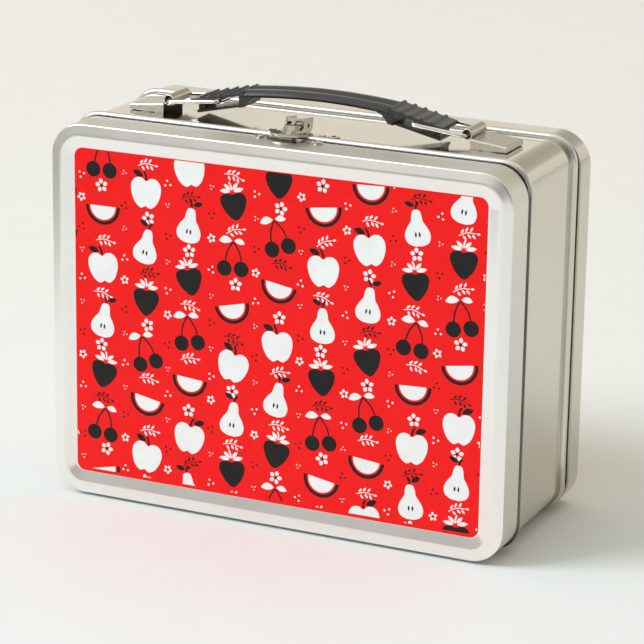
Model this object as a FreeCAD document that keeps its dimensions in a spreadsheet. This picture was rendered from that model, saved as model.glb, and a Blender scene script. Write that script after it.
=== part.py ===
import FreeCAD, Part
import Sketcher
import math
import os

# Metal lunch box, millimetres. +Z up, the lid faces -Y, the origin is on the
# floor under the middle of the box.

V = FreeCAD.Vector
doc = FreeCAD.newDocument("LunchBox")

# ------------------------------------------------------------------ sizes
SIZES = [
    ("gauge", 0.4, "tinplate thickness of the three shells"),
    ("lid_half", 110.0, "half the lid's width"),
    ("lid_rise", 86.425, "half the lid's height"),
    ("lid_mid", 87.575, "height of the lid's middle above the floor"),
    ("lid_corner", 15.0, "lid's outer corner radius"),
    ("lid_edge", -29.3, "rear edge of the lid's flange"),
    ("lid_rim", -46.6, "where the lid's flange turns into the frame"),
    ("lid_crest", -48.25, "front crest of the frame"),
    ("lid_panel", -46.25, "front of the recessed panel"),
    ("back_half", 110.6, "half the rear tray's width"),
    ("back_rise", 87.1, "half the rear tray's height"),
    ("back_mid", 87.1, "height of the rear tray's middle"),
    ("back_corner", 15.2, "rear tray's outer corner radius"),
    ("back_edge", 33.7, "front shoulder of the rear tray's flange"),
    ("back_neck", 24.5, "front end of the rear tray's neck"),
    ("back_rim", 46.6, "where the rear flange turns into the frame"),
    ("back_crest", 48.25, "rear crest of the frame"),
    ("back_panel", 46.25, "rear of the recessed panel"),
    ("neck_step", 3.8, "how far the neck sits inside the flange"),
    ("band_half", 108.1, "half the band's width"),
    ("band_rise", 85.6, "half the band's height"),
    ("band_mid", 87.8, "height of the band's middle"),
    ("band_corner", 11.6, "band's outer corner radius"),
    ("bead_front", -25.5, "middle of the front bead"),
    ("bead_rear", 30.0, "middle of the rear bead"),
    ("bead_lift", 0.5, "bead middle above the band's outer face"),
    ("bead_out", 1.7, "outer radius of the bead"),
    ("bead_in", 1.3, "inner radius of the bead"),
    ("collar_front", -36.0, "front edge of the inner collar"),
    ("collar_rear", -21.5, "rear edge of the inner collar"),
    ("print_half", 98.6, "half the printed sheet's width"),
    ("print_rise", 75.0, "half the printed sheet's height"),
    ("print_mid", 88.2, "height of the printed sheet's middle"),
    ("print_corner", 4.0, "printed sheet's corner radius"),
    ("print_gauge", 0.2, "printed sheet's thickness"),
    ("hinge_high", 1.7, "hinge axis above the floor"),
    ("rod_rad", 1.2, "hinge rod radius"),
    ("rod_half", 88.0, "half the hinge rod's length"),
    ("strap_place", 60.0, "hinge strap's distance from the middle"),
    ("strap_wide", 24.0, "hinge strap's width"),
    ("strap_tip", -42.0, "front end of the hinge strap"),
    ("strap_low", 0.8, "hinge strap's underside, under the lid's flange"),
    ("strap_gauge", 0.35, "hinge strap's thickness"),
    ("window_wide", 25.2, "window in the bead for a strap"),
    ("band_top", 173.4, "top of the band"),
    ("lid_top", 174.0, "top of the lid's flange"),
    ("gear_mid", 1.5, "Y of the handle's, bails' and brackets' middle"),
    ("brk_in", 74.5, "inner end of a bracket's hood"),
    ("brk_out", 91.4, "outer end of a bracket's hood"),
    ("brk_half", 9.6, "half a bracket's width"),
    ("brk_high", 178.0, "hood's height at the inner end"),
    ("brk_low", 176.2, "hood's height at the outer end"),
    ("brk_gauge", 0.5, "bracket's sheet thickness"),
    ("eye_x", 72.3, "middle of the rolled eye from the middle plane"),
    ("eye_z", 179.6, "height of the rolled eye"),
    ("eye_out", 2.5, "outer radius of the eye"),
    ("eye_in", 2.0, "inner radius of the eye"),
    ("eye_half", 8.4, "half the eye's length"),
    ("tab_wide", 2.4, "width of a bracket's tab"),
    ("tab_in", 76.4, "place of the inner tab"),
    ("tab_out", 83.3, "place of the outer tab"),
    ("bail_x", 72.05, "bail's pivot from the middle plane"),
    ("bail_z", 179.0, "bail's pivot height"),
    ("bail_long", 25.28, "pivot leg to cross bar"),
    ("bail_half", 10.0, "half the bail's width, wire middles"),
    ("bail_bend", 1.9, "bend radius of the bail's corners"),
    ("wire_rad", 0.95, "bail wire radius"),
    ("bail_tilt", 5.9, "bail's slope at rest, degrees"),
    ("arch_top", 189.6, "top of the handle's arch"),
    ("arch_rad", 308.0, "radius of the handle's arch"),
    ("grip_half", 8.7, "half the handle's width"),
    ("grip_thick", 3.4, "thickness of the grip"),
    ("grip_reach", 36.3, "half the grip's length"),
    ("end_start", 186.8, "end plate's top above the floor, at the grip"),
    ("end_reach", 61.1, "half the handle's length"),
    ("end_fall", 0.223, "slope of the end plates"),
    ("end_thick", 1.54, "thickness of the end plates"),
    ("slot_tall", 4.2, "height of the end slots"),
    ("foot_thick", 1.3, "thickness of the lower plates"),
    ("foot_reach", 59.0, "end of the lower plates"),
    ("foot_half", 6.0, "half the lower plates' width"),
    ("web_half", 8.0, "half the web's width"),
    ("web_in", 33.4, "inner face of the web"),
    ("web_out", 37.35, "outer face of the web"),
    ("post_in", 55.4, "inner face of the end post"),
    ("post_out", 58.6, "outer face of the end post"),
    ("post_half", 5.3, "half the end post's width"),
    ("rib_first", 36.3, "first rib from the middle"),
    ("rib_pitch", 4.9, "rib spacing"),
    ("rib_wide", 1.5, "rib width"),
    ("rib_tall", 0.75, "rib height"),
    ("plate_gauge", 0.7, "latch plates' thickness"),
    ("catch_wide", 11.4, "half the catch plate's width"),
    ("catch_tip", -40.2, "front of the catch plate"),
    ("catch_end", -30.3, "rear edge of the catch plate"),
    ("base_front", -23.2, "front edge of the latch base"),
    ("base_rear", -14.6, "rear edge of the latch base"),
    ("base_half", 6.4, "half the latch base's middle part"),
    ("ear_in", 2.5, "inner face of the latch ears"),
    ("ear_out", 3.3, "outer face of the latch ears"),
    ("pin_y", -22.3, "latch pin's place"),
    ("pin_z", 179.05, "latch pin's height"),
    ("pin_rad", 0.9, "latch pin radius"),
    ("pin_play", 0.05, "hasp bore clearance on the pin"),
    ("pin_half", 3.95, "half the latch pin's length"),
    ("cheek_in", 3.6, "inner face of the hasp's cheeks"),
    ("cheek_out", 4.4, "outer face of the hasp's cheeks"),
    ("cheek_front", -27.2, "front of the hasp's cheeks"),
    ("cheek_rear", -17.1, "rear of the hasp's cheeks"),
    ("cheek_top", 183.1, "top of the hasp's cheeks"),
    ("cheek_low", 175.95, "lower edge of the hasp's cheeks"),
    ("bill_half", 10.3, "half the thumb tab's width"),
    ("bill_tip", -38.9, "front of the thumb tab"),
    ("bill_end", -29.9, "rear edge of the thumb tab"),
    ("bill_low", 176.9, "underside of the thumb tab"),
    ("bill_gauge", 0.6, "thumb tab's thickness"),
    ("bill_rim", 0.5, "how far the tab's rim stands up"),
    ("dome_low", 177.2, "foot of the hasp's dome"),
    ("dome_mid", 178.9, "shoulder of the hasp's dome"),
    ("dome_top", 180.7, "top of the hasp's dome"),
    ("rivet_rad", 0.9, "rivet shank radius"),
    ("rivet_head", 1.5, "rivet head radius"),
    ("rivet_play", 0.05, "rivet hole clearance"),
    ("catch_rivet_x", 13.7, "catch rivets from the middle"),
    ("catch_rivet_y", -32.6, "catch rivets' place"),
    ("base_rivet_x", 9.4, "latch base rivets from the middle"),
    ("base_rivet_y", -18.4, "latch base rivets' place"),
]

sheet = doc.addObject("Spreadsheet::Sheet", "Sizes")
for row, (alias, value, note) in enumerate(SIZES, 1):
    sheet.set("A%d" % row, alias)
    sheet.set("B%d" % row, str(value))
    sheet.set("C%d" % row, note)
    sheet.setAlias("B%d" % row, alias)
doc.recompute()


class Q:
    """A length with its value and the sheet expression it comes from."""

    def __init__(self, value, text):
        self.v = float(value)
        self.t = text

    def __add__(self, o):
        o = q(o)
        return Q(self.v + o.v, "(%s + %s)" % (self.t, o.t))

    def __radd__(self, o):
        return q(o) + self

    def __sub__(self, o):
        o = q(o)
        return Q(self.v - o.v, "(%s - %s)" % (self.t, o.t))

    def __rsub__(self, o):
        return q(o) - self

    def __mul__(self, o):
        o = q(o)
        return Q(self.v * o.v, "(%s * %s)" % (self.t, o.t))

    def __rmul__(self, o):
        return q(o) * self

    def __neg__(self):
        return Q(-self.v, "(0 - %s)" % self.t)


def q(x):
    if isinstance(x, Q):
        return x
    return Q(x, "(%.6f)" % x if x < 0 else "%.6f" % x)


def S(name):
    return Q(float(sheet.get(name)), "Sizes.%s" % name)


def near(x, names):
    """x measured from whichever of the named sizes it lies closest to."""
    best = min((S(n) for n in names), key=lambda s: abs(s.v - x))
    return best + (x - best.v)


def put(obj, x=None, y=None, z=None):
    """Place an object, with its place bound to the sheet."""
    for axis, value in (("x", x), ("y", y), ("z", z)):
        if value is not None:
            obj.setExpression("Placement.Base.%s" % axis, q(value).t)


# ------------------------------------------------------------- sketch tools
def new_body(label):
    body = doc.addObject("PartDesign::Body", label)
    body.Label = label
    return body


def new_sketch(body, name, plane, away=None):
    """Sketch on one of the body's own planes, moved along its normal by away."""
    sk = body.newObject("Sketcher::SketchObject", name)
    face = [o for o in body.Origin.OriginFeatures if o.Role == plane][0]
    sk.AttachmentSupport = [(face, "")]
    sk.MapMode = "FlatFace"
    if away is not None:
        away = q(away)
        sk.AttachmentOffset = FreeCAD.Placement(V(0, 0, away.v), FreeCAD.Rotation())
        sk.setExpression("AttachmentOffset.Base.z", away.t)
    return sk


def outline(sk, parts):
    """Closed outline. parts is a list of (x, y) corners; a corner may carry an
    arc to the next corner: (x, y, cx, cy, radius, direction)."""
    count = len(parts)
    first = sk.GeometryCount
    ends = []
    geo = []
    for i, p in enumerate(parts):
        n = parts[(i + 1) % count]
        a = (q(p[0]).v, q(p[1]).v)
        b = (q(n[0]).v, q(n[1]).v)
        if len(p) == 2:
            geo.append(Part.LineSegment(V(a[0], a[1], 0), V(b[0], b[1], 0)))
            ends.append((1, 2))
        else:
            c = (q(p[2]).v, q(p[3]).v)
            ang_a = math.atan2(a[1] - c[1], a[0] - c[0])
            ang_b = math.atan2(b[1] - c[1], b[0] - c[0])
            circle = Part.Circle(V(c[0], c[1], 0), V(0, 0, 1), q(p[4]).v)
            if p[5] > 0:
                while ang_b <= ang_a:
                    ang_b += 2 * math.pi
                geo.append(Part.ArcOfCircle(circle, ang_a, ang_b))
                ends.append((1, 2))
            else:
                while ang_a <= ang_b:
                    ang_a += 2 * math.pi
                geo.append(Part.ArcOfCircle(circle, ang_b, ang_a))
                ends.append((2, 1))
    sk.addGeometry(geo, False)
    cons = []
    bind = []
    for i, p in enumerate(parts):
        j = (i + 1) % count
        cons.append(Sketcher.Constraint("Coincident", first + i, ends[i][1], first + j, ends[j][0]))
        for kind, value, axis in (("DistanceX", q(p[0]), -2), ("DistanceY", q(p[1]), -1)):
            if abs(value.v) < 1e-9:
                cons.append(Sketcher.Constraint("PointOnObject", first + i, ends[i][0], axis))
            else:
                bind.append((len(cons), value))
                cons.append(Sketcher.Constraint(kind, -1, 1, first + i, ends[i][0], value.v))
        if len(p) > 2:
            bind.append((len(cons), q(p[4])))
            cons.append(Sketcher.Constraint("Radius", first + i, q(p[4]).v))
    base = sk.ConstraintCount
    sk.addConstraint(cons)
    for index, value in bind:
        if "Sizes" in value.t:
            sk.setExpression("Constraints[%d]" % (base + index), value.t)


def ring(sk, half, rise, corner):
    """Rounded rectangle about the sketch's origin."""
    w, r, c = q(half), q(rise), q(corner)
    x, y = w - c, r - c
    outline(sk, [
        (w, -y), (w, y, x, y, c, 1),
        (x, r), (-x, r, -x, y, c, 1),
        (-w, y), (-w, -y, -x, -y, c, 1),
        (-x, -r), (x, -r, x, -y, c, 1),
    ])


def round_hole(sk, x, y, radius):
    x, y, radius = q(x), q(y), q(radius)
    g = sk.addGeometry(Part.Circle(V(x.v, y.v, 0), V(0, 0, 1), radius.v), False)
    for kind, value, axis in (("DistanceX", x, -2), ("DistanceY", y, -1)):
        if abs(value.v) < 1e-9:
            sk.addConstraint(Sketcher.Constraint("PointOnObject", g, 3, axis))
        else:
            k = sk.addConstraint(Sketcher.Constraint(kind, -1, 1, g, 3, value.v))
            if "Sizes" in value.t:
                sk.setExpression("Constraints[%d]" % k, value.t)
    k = sk.addConstraint(Sketcher.Constraint("Radius", g, radius.v))
    if "Sizes" in radius.t:
        sk.setExpression("Constraints[%d]" % k, radius.t)


def pad(body, name, sk, length, both=False, back=False):
    doc.recompute()
    p = body.newObject("PartDesign::Pad", name)
    p.Profile = sk
    p.setExpression("Length", q(length).t)
    if both:
        p.SideType = "Symmetric"
    p.Reversed = back
    return p


def pocket(body, name, sk, length, both=False, back=False):
    doc.recompute()
    before = body.Shape.Volume
    p = body.newObject("PartDesign::Pocket", name)
    p.Profile = sk
    p.setExpression("Length", q(length).t)
    if both:
        p.SideType = "Symmetric"
    p.Reversed = back
    doc.recompute()
    if not body.Shape.Volume < before - 1e-6:
        raise RuntimeError("%s cuts nothing" % name)
    return p


def sweep(body, name, profile, path):
    doc.recompute()
    p = body.newObject("PartDesign::AdditivePipe", name)
    p.Profile = profile
    p.Spine = (path, [])
    return p


def bent_sheet(chain, radii, gauge, side):
    """Corners of a bent sheet's outline, from one face's chain of points, its
    bend radii, and the side (1 left, -1 right) that the other face is on."""
    def unit(a, b):
        d = (b[0] - a[0], b[1] - a[1])
        s = math.hypot(*d)
        return (d[0] / s, d[1] / s)
    dirs = [unit(chain[i], chain[i + 1]) for i in range(len(chain) - 1)]
    face = [(chain[0], dirs[0], None)]
    for i, rad in enumerate(radii, 1):
        a, b = dirs[i - 1], dirs[i]
        cross = a[0] * b[1] - a[1] * b[0]
        turn = math.atan2(cross, a[0] * b[0] + a[1] * b[1])
        t = rad * math.tan(abs(turn) / 2)
        s = 1 if turn > 0 else -1
        p0 = (chain[i][0] - a[0] * t, chain[i][1] - a[1] * t)
        p1 = (chain[i][0] + b[0] * t, chain[i][1] + b[1] * t)
        c = (p0[0] - a[1] * rad * s, p0[1] + a[0] * rad * s)
        face.append((p0, a, (c, rad, s)))
        face.append((p1, b, None))
    face.append((chain[-1], dirs[-1], None))
    one = []
    two = []
    for i, (p, d, bend) in enumerate(face):
        off = (p[0] - d[1] * gauge * side, p[1] + d[0] * gauge * side)
        if bend:
            c, rad, s = bend
            one.append((p, (c, rad, s)))
        else:
            one.append((p, None))
        two.append(off)
    out = list(one)
    for i in range(len(face) - 1, -1, -1):
        bend = face[i - 1][2] if i > 0 else None
        if bend:
            c, rad, s = bend
            out.append((two[i], (c, rad - gauge * side * s, -s)))
        else:
            out.append((two[i], None))
    return out


def sheet_outline(sk, corners, xs, ys):
    """Draw bent_sheet corners with every corner tied to the nearest sheet size."""
    parts = []
    for p, bend in corners:
        x, y = near(p[0], xs), near(p[1], ys)
        if bend:
            c, rad, s = bend
            parts.append((x, y, c[0], c[1], q(rad), s))
        else:
            parts.append((x, y))
    outline(sk, parts)


# ------------------------------------------------------------ part helpers
def box(name, x0, x1, y0, y1, z0, z1):
    b = doc.addObject("Part::Box", name)
    x0, x1, y0, y1, z0, z1 = [q(k) for k in (x0, x1, y0, y1, z0, z1)]
    b.setExpression("Length", (x1 - x0).t)
    b.setExpression("Width", (y1 - y0).t)
    b.setExpression("Height", (z1 - z0).t)
    put(b, x0, y0, z0)
    return b


def rod(name, radius, x, y, z, length, axis="z"):
    c = doc.addObject("Part::Cylinder", name)
    c.setExpression("Radius", q(radius).t)
    c.setExpression("Height", q(length).t)
    turn = {"z": FreeCAD.Rotation(), "x": FreeCAD.Rotation(V(0, 1, 0), 90),
            "y": FreeCAD.Rotation(V(1, 0, 0), -90)}[axis]
    c.Placement = FreeCAD.Placement(V(0, 0, 0), turn)
    put(c, x, y, z)
    return c


def fuse(name, shapes):
    f = doc.addObject("Part::MultiFuse", name)
    f.Shapes = shapes
    f.Refine = True
    return f


def cut(name, base, tool):
    c = doc.addObject("Part::Cut", name)
    c.Base = base
    c.Tool = tool
    return c


NODES = []


def node(obj, label):
    obj.Label = label
    NODES.append((label, obj))
    return obj


# ---------------------------------------------------------------- lid shell
g = S("gauge").v
lid = new_body("lid_blank")
path = new_sketch(lid, "lid_path", "XZ_Plane")
ring(path, S("lid_half"), S("lid_rise"), S("lid_corner"))
prof = new_sketch(lid, "lid_section", "XY_Plane")
w = S("lid_half").v
chain = [(w, S("lid_edge").v), (w, S("lid_rim").v), (w - 5.3, S("lid_crest").v),
         (w - 10.6, S("lid_panel").v), (w - 13.5, S("lid_panel").v)]
sheet_outline(prof, bent_sheet(chain, [0.9, 4.0, 2.0], g, -1), ["lid_half"],
              ["lid_edge", "lid_rim", "lid_crest", "lid_panel"])
sweep(lid, "lid_frame", prof, path)
sk = new_sketch(lid, "lid_panel_shape", "XZ_Plane", -S("lid_panel"))
ring(sk, S("lid_half") - 12.5, S("lid_rise") - 12.5, S("lid_corner") - 12.5)
pad(lid, "lid_panel_pad", sk, S("gauge"), back=True)
doc.recompute()
put(lid, z=S("lid_mid"))
hole = S("rivet_rad") + S("rivet_play")
lid_holes = fuse("lid_holes", [
    rod("lid_hole_l", hole, -S("catch_rivet_x"), S("catch_rivet_y"), S("lid_top") - 2, 4),
    rod("lid_hole_r", hole, S("catch_rivet_x"), S("catch_rivet_y"), S("lid_top") - 2, 4)])
node(cut("lid_cut", lid, lid_holes), "lid_shell")

# printed sheet, on the front of the panel
b = new_body("print_panel")
sk = new_sketch(b, "print_shape", "XZ_Plane", -S("lid_panel"))
ring(sk, S("print_half"), S("print_rise"), S("print_corner"))
pad(b, "print_pad", sk, S("print_gauge"))
put(b, z=S("print_mid"))
node(b, "print_panel")

# --------------------------------------------------------------- rear tray
back = new_body("back_shell")
path = new_sketch(back, "back_path", "XZ_Plane")
ring(path, S("back_half"), S("back_rise"), S("back_corner"))
prof = new_sketch(back, "back_section", "XY_Plane")
w = S("back_half").v
n = w - S("neck_step").v
chain = [(n, S("back_neck").v), (n, S("back_edge").v), (w, S("back_edge").v),
         (w, S("back_rim").v), (w - 5.3, S("back_crest").v),
         (w - 10.6, S("back_panel").v), (w - 13.5, S("back_panel").v)]
sheet_outline(prof, bent_sheet(chain, [0.5, 0.6, 0.9, 4.0, 2.0], g, 1), ["back_half"],
              ["back_neck", "back_edge", "back_rim", "back_crest", "back_panel"])
sweep(back, "back_frame", prof, path)
sk = new_sketch(back, "back_panel_shape", "XZ_Plane", -S("back_panel"))
ring(sk, S("back_half") - 12.5, S("back_rise") - 12.5, S("back_corner") - 12.5)
pad(back, "back_panel_pad", sk, S("gauge"))
put(back, z=S("back_mid"))
node(back, "back_shell")

# -------------------------------------------------------------------- band
band = new_body("band_blank")
path = new_sketch(band, "band_path", "XZ_Plane")
ring(path, S("band_half"), S("band_rise"), S("band_corner"))
prof = new_sketch(band, "band_section", "XY_Plane")
w = S("band_half")
ro, ri, rise = S("bead_out"), S("bead_in"), S("bead_lift")
cu = w + rise
cf, cr = S("bead_front"), S("bead_rear")
ro_reach = math.sqrt(ro.v ** 2 - rise.v ** 2)
ri_reach = math.sqrt(ri.v ** 2 - (rise.v + g) ** 2)
lip = math.radians(190.0)
parts = [
    (w, cf + ro_reach),
    (w, cr - ro_reach, cu, cr, ro, 1),
    (cu + ro * math.cos(lip), cr - ro * math.sin(lip)),
    (cu + ri * math.cos(lip), cr - ri * math.sin(lip), cu, cr, ri, -1),
    (w - S("gauge"), cr - ri_reach),
    (w - S("gauge"), cf + ri_reach, cu, cf, ri, -1),
    (cu + ri * math.cos(lip), cf + ri * math.sin(lip)),
    (cu + ro * math.cos(lip), cf + ro * math.sin(lip), cu, cf, ro, 1),
]
outline(prof, parts)
sweep(band, "band_strip", prof, path)
put(band, z=S("band_mid"))
tools = []
for side, name in ((-1, "l"), (1, "r")):
    at = side * S("strap_place")
    half = S("window_wide") * 0.5
    tools.append(box("window_" + name, at - half, at + half,
                     S("bead_front") - 3.0, S("bead_front") + 3.4, -1.0, S("hinge_high") + 2.6))
    for tab in ("tab_in", "tab_out"):
        for edge, en in ((-1, "f"), (1, "b")):
            mid = side * S(tab)
            hw = S("tab_wide") * 0.5 + 0.15
            yy = S("gear_mid") + edge * (S("brk_half") - S("brk_gauge") * 0.5)
            hy = S("brk_gauge") * 0.5 + 0.12
            tools.append(box("slot_%s_%s_%s" % (name, tab, en), mid - hw, mid + hw,
                             yy - hy, yy + hy, S("band_top") - 2, S("band_top") + 1))
    tools.append(rod("band_hole_" + name, hole, side * S("base_rivet_x"), S("base_rivet_y"),
                     S("band_top") - 2, 4))
node(cut("band_cut", band, fuse("band_tools", tools)), "band_shell")

# inner collar, which the lid closes over
b = new_body("band_collar")
inset = S("bead_out") - S("bead_lift") + 0.3
sk = new_sketch(b, "collar_outside", "XZ_Plane", -S("collar_front"))
ring(sk, S("band_half") - inset, S("band_rise") - inset, S("band_corner") - inset)
pad(b, "collar_pad", sk, S("collar_rear") - S("collar_front"), back=True)
inset = inset + S("gauge")
sk = new_sketch(b, "collar_inside", "XZ_Plane", -S("collar_front") + 1.0)
ring(sk, S("band_half") - inset, S("band_rise") - inset, S("band_corner") - inset)
pocket(b, "collar_hollow", sk, S("collar_rear") - S("collar_front") + 2.0)
put(b, z=S("band_mid"))
node(b, "band_collar")

# ------------------------------------------------------------------- hinge
node(rod("hinge_rod_body", S("rod_rad"), -S("rod_half"), S("bead_front"), S("hinge_high"),
         S("rod_half") * 2, "x"), "hinge_rod")

for side, name in ((-1, "left"), (1, "right")):
    b = new_body("hinge_strap_" + name)
    sk = new_sketch(b, "strap_%s_section" % name, "YZ_Plane")
    cy, cz = S("bead_front"), S("hinge_high")
    low, high = S("strap_low"), S("strap_low") + S("strap_gauge")
    out_reach = math.sqrt(ro.v ** 2 - (cz.v - low.v) ** 2)
    in_reach = math.sqrt(ri.v ** 2 - (cz.v - high.v) ** 2)
    end = math.radians(172.0)
    outline(sk, [
        (S("strap_tip"), low),
        (cy - out_reach, low, cy, cz, ro, 1),
        (cy + ro * math.cos(end), cz + ro * math.sin(end)),
        (cy + ri * math.cos(end), cz + ri * math.sin(end), cy, cz, ri, -1),
        (cy - in_reach, high),
        (S("strap_tip"), high),
    ])
    pad(b, "strap_%s_pad" % name, sk, S("strap_wide"), both=True)
    put(b, x=side * S("strap_place"))
    node(b, "hinge_strap_" + name)

# ---------------------------------------------------------------- brackets
for side, name in ((-1, "left"), (1, "right")):
    t = S("brk_gauge")
    floor = S("band_top")
    b = new_body("bracket_hood_" + name)
    sk = new_sketch(b, "hood_%s_side" % name, "XZ_Plane")
    outline(sk, [(S("brk_in"), floor), (S("brk_out"), floor),
                 (S("brk_out"), S("brk_low")), (S("brk_in"), S("brk_high"))])
    hood = pad(b, "hood_%s_pad" % name, sk, S("brk_half") * 2, both=True)
    doc.recompute()
    # round the three upper edges of the hood
    top = []
    for i, e in enumerate(b.Shape.Edges, 1):
        bb = e.BoundBox
        if bb.ZMin > S("brk_low").v - 0.01 and bb.XMax > S("brk_out").v - 0.01:
            top.append("Edge%d" % i)
    f = b.newObject("PartDesign::Fillet", "hood_%s_round" % name)
    f.Base = (hood, top)
    f.Radius = 0.9
    doc.recompute()
    sk = new_sketch(b, "hood_%s_inside" % name, "XZ_Plane")
    outline(sk, [(S("brk_in") - 1.0, floor - 1.0), (S("brk_out") - t, floor - 1.0),
                 (S("brk_out") - t, S("brk_low") - t), (S("brk_in") - 1.0, S("brk_high") + 0.118 - t)])
    pocket(b, "hood_%s_hollow" % name, sk, (S("brk_half") - t) * 2, both=True)
    # relief under the front and rear skirts, and under the outer end
    sk = new_sketch(b, "hood_%s_relief" % name, "XZ_Plane")
    x0, x1 = S("tab_in") + 1.9, S("tab_out") - 1.25
    outline(sk, [(x0, floor - 1.0), (x1, floor - 1.0), (x1 - 0.4, floor + 0.3), (x0 + 0.6, floor + 0.42)])
    x0, x1 = S("tab_out") + 1.25, S("brk_out") + 1.0
    outline(sk, [(x0, floor - 1.0), (x1, floor - 1.0), (x1, floor + 0.4), (x0 + 2.8, floor + 0.42), (x0 + 0.3, floor + 0.28)])
    pocket(b, "hood_%s_gap" % name, sk, S("brk_half") * 2 + 2.0, both=True)
    # rolled eye
    sk = new_sketch(b, "eye_%s_section" % name, "XZ_Plane")
    ex, ez, eo, ei = S("eye_x"), S("eye_z"), S("eye_out"), S("eye_in")
    lo, hi = S("brk_high") - t, S("brk_high")
    o_reach = math.sqrt(eo.v ** 2 - (ez.v - lo.v) ** 2)
    i_reach = math.sqrt(ei.v ** 2 - (ez.v - hi.v) ** 2)
    end = math.radians(-35.0)
    outline(sk, [
        (S("brk_in") + 0.6, lo),
        (ex + o_reach, lo, ex, ez, eo, -1),
        (ex + eo * math.cos(end), ez + eo * math.sin(end)),
        (ex + ei * math.cos(end), ez + ei * math.sin(end), ex, ez, ei, 1),
        (ex + i_reach, hi),
        (S("brk_in") + 0.6, hi),
    ])
    pad(b, "eye_%s_pad" % name, sk, S("eye_half") * 2, both=True)
    # tabs through the band, folded flat inside
    sk = new_sketch(b, "tabs_%s_down" % name, "XZ_Plane", S("brk_half") - t)
    for tab in ("tab_in", "tab_out"):
        hw = S("tab_wide") * 0.5
        outline(sk, [(S(tab) - hw, floor - 0.95), (S(tab) + hw, floor - 0.95),
                     (S(tab) + hw, floor + 0.6), (S(tab) - hw, floor + 0.6)])
    pad(b, "tabs_%s_front" % name, sk, t)
    sk = new_sketch(b, "tabs_%s_up" % name, "XZ_Plane", -S("brk_half"))
    for tab in ("tab_in", "tab_out"):
        hw = S("tab_wide") * 0.5
        outline(sk, [(S(tab) - hw, floor - 0.95), (S(tab) + hw, floor - 0.95),
                     (S(tab) + hw, floor + 0.6), (S(tab) - hw, floor + 0.6)])
    pad(b, "tabs_%s_rear" % name, sk, t)
    for edge, en in ((1, "f"), (-1, "b")):
        sk = new_sketch(b, "fold_%s_%s" % (name, en), "XZ_Plane",
                        S("brk_half") - 3.2 if edge > 0 else -S("brk_half"))
        for tab in ("tab_in", "tab_out"):
            hw = S("tab_wide") * 0.5
            outline(sk, [(S(tab) - hw, floor - 0.95), (S(tab) + hw, floor - 0.95),
                         (S(tab) + hw, floor - 0.45), (S(tab) - hw, floor - 0.45)])
        pad(b, "fold_%s_%s_pad" % (name, en), sk, 3.2)
    if side < 0:
        b.Placement = FreeCAD.Placement(V(0, 0, 0), FreeCAD.Rotation(V(0, 0, 1), 180))
    put(b, y=S("gear_mid"))
    node(b, "bracket_" + name)

# ------------------------------------------------------------------- bails
for side, name in ((-1, "left"), (1, "right")):
    b = new_body("bail_" + name)
    path = new_sketch(b, "bail_%s_path" % name, "XY_Plane")
    hw, long, bend = S("bail_half"), S("bail_long"), S("bail_bend")
    x0, x1 = -long + bend, -bend
    y0, y1 = -hw + bend, hw - bend
    outline(path, [
        (0, y0), (0, y1, x1, y1, bend, 1),
        (x1, hw), (x0, hw, x0, y1, bend, 1),
        (-long, y1), (-long, y0, x0, y0, bend, 1),
        (x0, -hw), (x1, -hw, x1, y0, bend, 1),
    ])
    prof = new_sketch(b, "bail_%s_wire" % name, "XZ_Plane")
    round_hole(prof, 0, 0, S("wire_rad"))
    sweep(b, "bail_%s_loop" % name, prof, path)
    tilt = FreeCAD.Rotation(V(0, 1, 0), S("bail_tilt").v)
    if side < 0:
        tilt = FreeCAD.Rotation(V(0, 0, 1), 180).multiply(tilt)
    b.Placement = FreeCAD.Placement(V(0, 0, 0), tilt)
    put(b, x=side * S("bail_x"), y=S("gear_mid"), z=S("bail_z"))
    node(b, "bail_" + name)

# ------------------------------------------------------------------ handle
h = new_body("handle_grip")
low = S("arch_top") - S("arch_rad")


def hz(z):
    return q(z) - low


sk = new_sketch(h, "grip_section", "YZ_Plane")
hw, th, top = S("grip_half"), S("grip_thick"), S("arch_rad")
edge = [(1.5, -1.05), (2.7, -0.25), (3.7, -0.02), (5.6, -0.1), (7.0, -0.5), (8.05, -1.15)]
pts = [(-x, top + y) for x, y in edge]
pts += [(-hw, top - 1.9), (-hw, top - th + 1.1), (-hw + 0.9, top - th + 0.15), (-hw + 2.4, top - th),
        (hw - 2.4, top - th), (hw - 0.9, top - th + 0.15), (hw, top - th + 1.1), (hw, top - 1.9)]
pts += [(x, top + y) for x, y in reversed(edge)]
outline(sk, pts)
doc.recompute()
rev = h.newObject("PartDesign::Revolution", "grip_arch")
rev.Profile = sk
rev.ReferenceAxis = (sk, ["H_Axis"])
rev.Midplane = True
rev.Angle = 2 * math.degrees(math.asin(S("grip_reach").v / S("arch_rad").v))
rev.setExpression("Angle", "2 * asin(Sizes.grip_reach / Sizes.arch_rad)")
doc.recompute()


def plate_z(x, drop=0.0):
    """Height of the sloping end plate at x, less drop."""
    return hz(S("end_start") - (q(x) - S("rib_first")) * S("end_fall") - drop)


def both_ends(sk, parts):
    outline(sk, parts)
    outline(sk, [(-p[0], p[1]) for p in reversed(parts)])


def end_pad(name, parts, half):
    sk = new_sketch(h, name + "_shape", "XZ_Plane")
    both_ends(sk, parts)
    pad(h, name, sk, q(half) * 2, both=True)


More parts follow.
